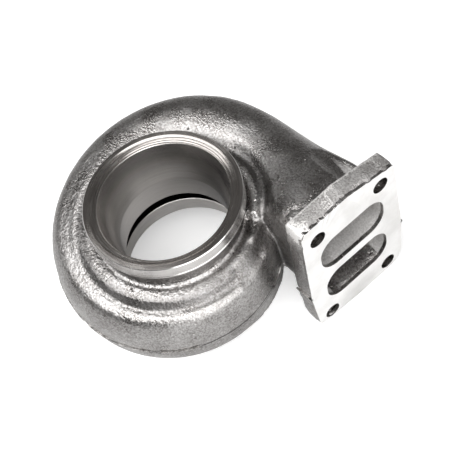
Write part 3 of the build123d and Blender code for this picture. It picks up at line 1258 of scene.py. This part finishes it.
@dataclass
class PartingFlash(SubAssembly):
    """Thin raised lip that the two halves of the mould leave round the casting."""

    sizes: HousingSizes
    half_height: float = 0.65 * MM
    slack: float = 0.03 * MM
    root: float = 1.6 * MM
    set_back: float = 0.05 * MM
    waver: float = 0.12 * MM

    finishes = (
        CastSkin(name="lip_skin", dark=(0.24, 0.23, 0.22, 1.0), light=(0.55, 0.54, 0.53, 1.0), bump=0.5),
    )

    def outer_faces(self) -> Mesh:
        """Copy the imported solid's own lip faces.

        Returns:
            Mesh: the faces on the lip's outer side.
        """
        low = self.sizes.parting_height - self.half_height - self.slack
        high = self.sizes.parting_height + self.half_height + self.slack

        def on_lip(face: bmesh.types.BMFace) -> bool:
            """Say whether a face spans the lip's outer side.

            Args:
                face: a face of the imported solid.

            Returns:
                bool: whether it does.
            """
            heights = [vert.co.z for vert in face.verts]
            bottom, top = min(heights), max(heights)
            spans = bottom > low and top < high and top - bottom > self.half_height
            return spans and abs(face.normal.z) < 0.2 and face.normal.x < 0.9

        return cad_faces(on_lip)

    def build(self) -> Piece:
        """Make the lip from its outer faces, with its root inside the casting.

        Returns:
            Piece: the lip.
        """
        bm = self.outer_faces()
        bm.normal_update()
        outwards = bm.verts.layers.float_vector.new("outwards")
        for vert in bm.verts:
            vert[outwards] = vert.normal
            vert.co -= vert.normal * (self.set_back + abs(noise.noise(vert.co * 130.0)) * self.waver)
        made = bmesh.ops.extrude_face_region(bm, geom=list(bm.faces))
        for item in made["geom"]:
            if isinstance(item, bmesh.types.BMVert):
                item.co -= item[outwards] * self.root
        bmesh.ops.recalc_face_normals(bm, faces=bm.faces)
        return put_away(bm, "parting_flash", sharp_angle=30.0)


@dataclass
class BearingSeat(SubAssembly):
    """Register, heat shield seat and nozzle floor on the bearing housing side."""

    sizes: HousingSizes
    steps: int = 256
    nozzle_height: float = 6.0 * MM
    nozzle_radius: float = 38.5 * MM

    finishes = (
        TurnedMetal(
            name="turned_seat", colour=(0.66, 0.64, 0.62, 1.0), bright=(0.76, 0.74, 0.72, 1.0), roughness=0.3
        ),
        # Painted shade on the nozzle floor inside the slot
        shaded_skin("shaded_nozzle_skin"),
    )

    def profile(self) -> Outline:
        """Work out the corners of the turned section.

        Returns:
            Outline: the corners as radius and height, in millimetres.
        """
        wall, floor = self.sizes.register_radius / MM, self.sizes.register_depth / MM
        register = ((50.0, 0.0), (wall + 0.5, 0.0), (wall, 0.5), (wall, floor))
        shield_seat = ((40.0, floor), (39.5, floor + 0.5), (37.1, 20.0), (37.4, 20.3))
        nozzle_floor = ((45.6, 16.0), (46.0, 12.0), (48.0, 7.0), (50.0, 4.0))
        return (*register, *shield_seat, *nozzle_floor)

    def build(self) -> Piece:
        """Turn the seat, and mark which faces lie inside the nozzle slot.

        Returns:
            Piece: the seat.
        """
        bm = lathe(self.profile(), self.steps)
        bm.normal_update()
        for face in bm.faces:
            middle = face.calc_center_median()
            in_slot = middle.z > self.nozzle_height and radius_of(middle) > self.nozzle_radius
            face.material_index = 1 if in_slot else 0
        return put_away(bm, "bearing_seat", sharp_angle=24.0)


@dataclass
class InletFace(SubAssembly):
    """The ground face of the inlet flange, with its two ports and four bolt holes."""

    sizes: HousingSizes
    depth: float = 2.2 * MM
    inset: float = 0.35 * MM
    ragged: float = 0.5 * MM
    chip_step: float = 0.9 * MM
    hole_margin: float = 2.0 * MM
    side_edges: Span = (20.0 * MM, 34.0 * MM)
    end_edges: Span = (40.0 * MM, 50.0 * MM)
    top_edge: Span = (70.0 * MM, 84.0 * MM)

    finishes = (GroundFace(), CastSkin(name="port_edge_skin", bump=0.6))

    def build(self) -> Piece:
        """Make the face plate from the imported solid's own flange face.

        Returns:
            Piece: the plate, with its front ground and its sides cast.
        """
        front = self.sizes.high.x - 0.02 * MM
        bm = cad_faces(lambda face: face.normal.x > 0.999 and min(v.co.x for v in face.verts) > front)
        bmesh.ops.dissolve_limit(bm, angle_limit=math.radians(1.0), verts=bm.verts, edges=bm.edges)
        self.break_outline(bm)
        made = bmesh.ops.extrude_face_region(bm, geom=list(bm.faces))
        back = [item for item in made["geom"] if isinstance(item, bmesh.types.BMVert)]
        bmesh.ops.translate(bm, verts=back, vec=(-self.depth, 0.0, 0.0))
        bmesh.ops.recalc_face_normals(bm, faces=bm.faces)
        bmesh.ops.triangulate(bm, faces=bm.faces)
        bm.normal_update()
        for face in bm.faces:
            face.material_index = 0 if face.normal.x > 0.5 else 1
        return put_away(bm, "inlet_face", sharp_angle=30.0)

    def outer_edges(self, bm: Mesh) -> list[bmesh.types.BMEdge]:
        """Find the edges of the face's outline, without those of the ports and holes.

        Args:
            bm: the flat face.

        Returns:
            list: the edges.
        """
        centre, margin = self.sizes.bolt_centre, self.sizes.bolt_radius + self.hole_margin
        reach = self.sizes.bolt_spread / 2 + Vector((0.0, margin, margin))
        found = []
        for edge in bm.edges:
            middle = middle_of(edge)
            outside = abs(middle.y - centre.y) > reach.y or abs(middle.z - centre.z) > reach.z
            if edge.is_boundary and outside:
                found.append(edge)
        return found

    def break_outline(self, bm: Mesh) -> None:
        """Set the outline in a little and leave it ragged, as grinding leaves a cast edge.

        Args:
            bm: the flat face.
        """
        for edge in self.outer_edges(bm):
            cuts = int(edge.calc_length() / self.chip_step)
            if cuts:
                bmesh.ops.subdivide_edges(bm, edges=[edge], cuts=cuts)
        centre = self.sizes.bolt_centre
        verts = {vert for edge in self.outer_edges(bm) for vert in edge.verts}
        for vert in verts:
            inwards = Vector((0.0, centre.y - vert.co.y, centre.z - vert.co.z))
            inwards.y = math.copysign(1.0, inwards.y) * ramp(abs(inwards.y), *self.side_edges)
            inwards.z = math.copysign(1.0, inwards.z) * ramp(abs(inwards.z), *self.end_edges)
            top = ramp(vert.co.z, *self.top_edge)
            chip = max(noise.noise(vert.co * 260.0), 0.0) * self.ragged * (0.5 + 2.0 * top)
            vert.co += inwards * (self.inset + chip)


@dataclass(frozen=True)
class SoftLight:
    """A soft rectangular light, with its place and size in metres and its power in watts."""

    name: str
    place: Point
    size: Span
    power: float

    def hang(self, aim: Point) -> None:
        """Hang the light.

        Args:
            aim: the point it faces.
        """
        lamp = bpy.data.lights.new(self.name, "AREA")
        lamp.shape = "RECTANGLE"
        lamp.size, lamp.size_y = self.size
        lamp.energy = self.power
        light = set_out(self.name, lamp)
        light.location = self.place
        light.rotation_mode = "QUATERNION"
        light.rotation_quaternion = (Vector(aim) - Vector(self.place)).to_track_quat("-Z", "Y")


@dataclass
class Studio:
    """Pale floor, soft lights and the camera."""

    sizes: HousingSizes
    azimuth: float = 66.26
    elevation: float = 57.33
    roll: float = -19.81
    stand: Point = (0.3026, -0.1013, 0.5217)
    lens: float = 77.15
    sensor: float = 36.0
    aim: Point = (0.0, 0.0, 0.03)
    lights: tuple[SoftLight, ...] = (
        SoftLight("overhead", (0.12, -0.45, 1.10), (2.4, 1.1), 29.5),
        SoftLight("side", (1.06, -0.09, 0.32), (1.3, 0.6), 8.0),
    )
    floor_half: float = 4.0
    floor_lit: Colour = (0.6, 0.6, 0.6, 1.0)
    floor_seen: Colour = (0.9, 0.9, 0.9, 1.0)
    floor_glow: float = 0.38
    glow_reach: Span = (0.25, 1.2)
    room: float = 0.15
    room_seen: float = 0.85

    def build(self) -> None:
        """Make the floor, the lights, the world and the camera."""
        self.lay_floor()
        for light in self.lights:
            light.hang(self.aim)
        self.light_room()
        self.place_camera()

    def lay_floor(self) -> None:
        """Lay a pale floor under the housing, white where the camera sees it far from the housing."""
        bm = bmesh.new()
        bmesh.ops.create_grid(bm, x_segments=1, y_segments=1, size=self.floor_half)
        bmesh.ops.translate(bm, verts=bm.verts, vec=(0.0, 0.0, self.sizes.low.z))
        floor = set_out_mesh(bm, "floor")
        material, bench, shader, place = new_material("floor_white")
        seen = bench.add("ShaderNodeLightPath").outputs["Is Camera Ray"]
        bench.fill(shader, Roughness=0.9, Base_Color=bench.blend(seen, self.floor_lit, self.floor_seen))
        away = bench.distance(place, (0.0, 0.0, 0.0))
        shine = bench.times(seen, bench.plus(self.floor_glow, bench.band(away, *self.glow_reach)))
        glow = bench.add("ShaderNodeEmission", Color=(1.0, 1.0, 1.0, 1.0), Strength=shine)
        total = bench.add("ShaderNodeAddShader")
        bench.feed(total, 0, shader.outputs[0])
        bench.feed(total, 1, glow.outputs[0])
        bench.feed(bench.tree.nodes["Material Output"], "Surface", total.outputs[0])
        floor.data.materials.append(material)

    def light_room(self) -> None:
        """Light the room evenly, white where the camera sees it."""
        world = bpy.data.worlds.new("room")
        bpy.context.scene.world = world
        world.use_nodes = True
        bench = NodeBench(world.node_tree)
        seen = bench.add("ShaderNodeLightPath").outputs["Is Camera Ray"]
        strength = bench.plus(self.room, bench.times(seen, self.room_seen))
        bench.fill(world.node_tree.nodes["Background"], Color=(1.0, 0.98, 0.96, 1.0), Strength=strength)

    def place_camera(self) -> None:
        """Stand the camera where the photograph was taken from."""
        across, up = math.radians(self.azimuth), math.radians(self.elevation)
        back = Vector((math.sin(across) * math.cos(up), -math.cos(across) * math.cos(up), math.sin(up)))
        right = (-back).cross(Vector((0.0, 0.0, 1.0))).normalized()
        over = back.cross(right)
        turn = math.radians(self.roll)
        right, over = (
            right * math.cos(turn) + over * math.sin(turn),
            over * math.cos(turn) - right * math.sin(turn),
        )
        data = bpy.data.cameras.new("camera")
        data.lens = self.lens
        data.sensor_width = self.sensor
        data.clip_start, data.clip_end = 0.05, 20.0
        camera = set_out("camera", data)
        matrix = Matrix((right, over, back)).transposed().to_4x4()
        matrix.translation = self.stand
        camera.matrix_world = matrix
        bpy.context.scene.camera = camera


def main() -> None:
    """Build and dress every piece, then the studio round it."""
    logging.basicConfig(level=logging.INFO, format="%(message)s")
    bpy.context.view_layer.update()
    sizes = HousingSizes.from_frame()
    effects = Effects()
    makers = (
        CastBody(sizes),
        PartingFlash(sizes),
        CastNeck(),
        TurnedOutlet(sizes),
        BearingSeat(sizes),
        InletFace(sizes),
        BoltHoles(sizes),
    )
    for maker in makers:
        piece = maker.build()
        maker.dress(piece, effects)
        log.info("%s: %d faces", piece.name, len(piece.data.polygons))
    Studio(sizes).build()
    bpy.context.scene.view_settings.view_transform = "Standard"


if __name__ == "__main__":
    main()
